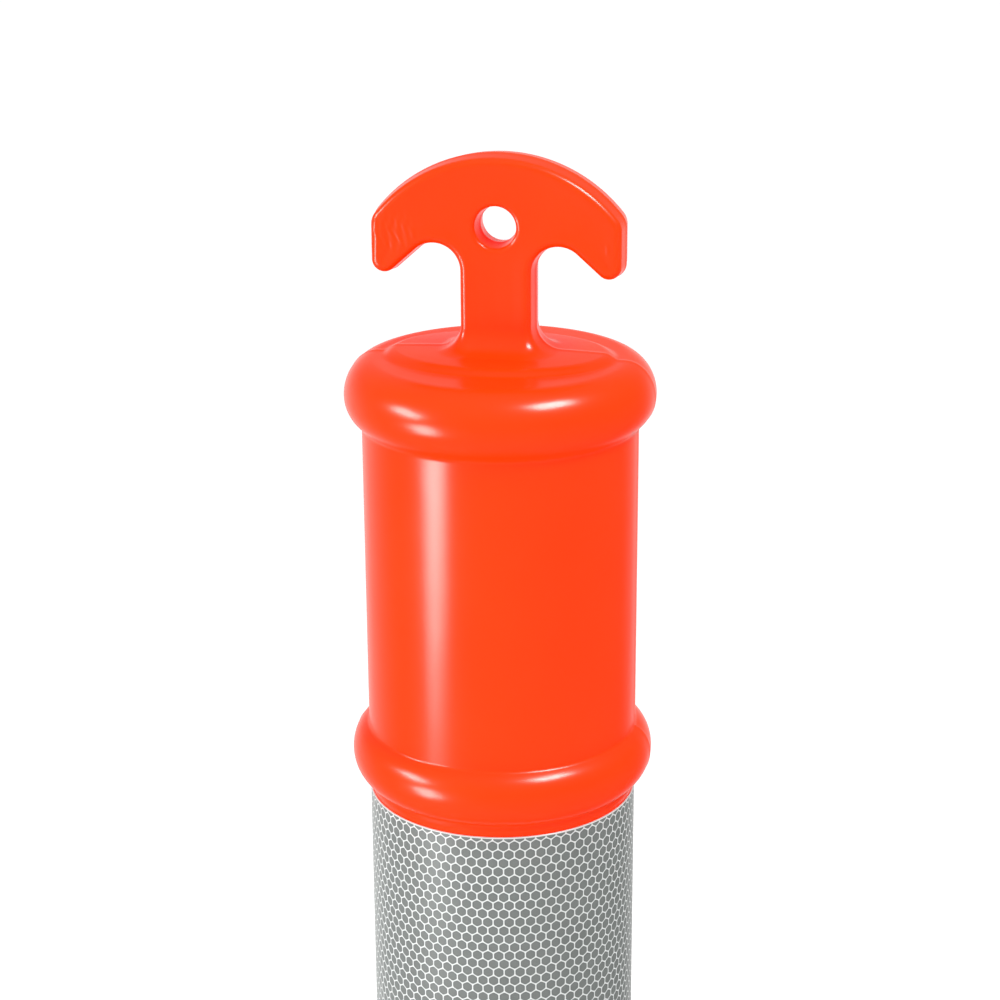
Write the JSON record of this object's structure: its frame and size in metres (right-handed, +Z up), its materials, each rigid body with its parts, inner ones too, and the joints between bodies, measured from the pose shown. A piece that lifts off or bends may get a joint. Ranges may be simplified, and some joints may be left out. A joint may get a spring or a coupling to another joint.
{
  "type": "delineator post",
  "caption": "Portable T-top delineator post: hollow orange post with beads, a chain-hole grip and a reflective collar, in a drop-over octagonal rubber base.",
  "frame": {"origin": "on the ground at the middle of the base, under the post's axis", "axes": "+Z up along the post, X along the grip's width, Y through the grip's chain hole"},
  "size_m": [0.406, 0.406, 1.12],
  "materials": {
    "post_plastic": "semi-gloss blow-moulded polyethylene",
    "reflective_sheeting": "encapsulated-lens honeycomb sheeting",
    "base_rubber": "pressed crumb rubber"
  },
  "bodies": {
    "post": {"t_grip": "post_plastic", "post_body": "post_plastic", "reflective_collar": "reflective_sheeting"},
    "base": {"rubber_base": "base_rubber"}
  },
  "joints": [
    {"name": "base_lift", "type": "slide", "parent": "post", "child": "base", "axis": [0, 0, 1], "range_m": [0, 1.16]}
  ]
}
